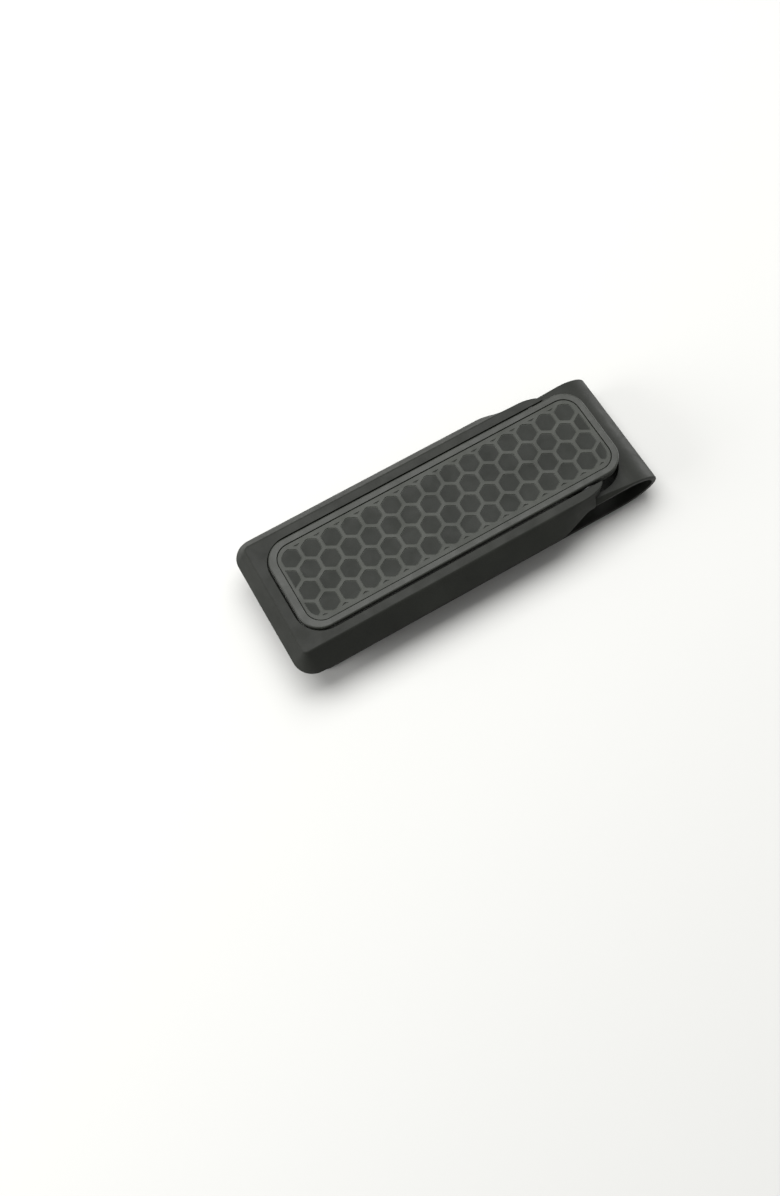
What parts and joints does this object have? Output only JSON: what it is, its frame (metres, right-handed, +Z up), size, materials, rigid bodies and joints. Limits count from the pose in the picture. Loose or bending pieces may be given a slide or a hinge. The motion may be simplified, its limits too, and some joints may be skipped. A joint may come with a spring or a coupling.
{
  "type": "money clip",
  "caption": "Slim spring-steel money clip in satin black with a hinged lever and a bonded honeycomb inlay, gripping folded notes between its two arms.",
  "frame": {"origin": "centre of the clip's plan box, on the outer face of the back plate", "axes": "+X along the clip towards the bend, +Y across it, +Z up through the lever"},
  "size_m": [0.059, 0.0226, 0.0092],
  "materials": {
    "black_steel": "satin black coating on spring steel",
    "black_lever": "satin black coating on steel",
    "dark_inlay": "matte charcoal sheet with a honeycomb relief",
    "adhesive": "clear bonding film",
    "bare_steel": "ground steel pin",
    "black_acetal": "black acetal"
  },
  "bodies": {
    "frame": {"frame": "black_steel", "hinge_pin": "bare_steel", "hinge_washer_near": "black_acetal", "hinge_washer_far": "black_acetal"},
    "lever": {"lever": "black_lever", "inlay_panel": "dark_inlay", "inlay_adhesive": "adhesive"}
  },
  "joints": [
    {"name": "lever_hinge", "type": "hinge", "parent": "frame", "child": "lever", "pos_m": [0.01846, 0, 0.0074], "axis": [0, 1, 0], "range_deg": [0, 72]}
  ]
}
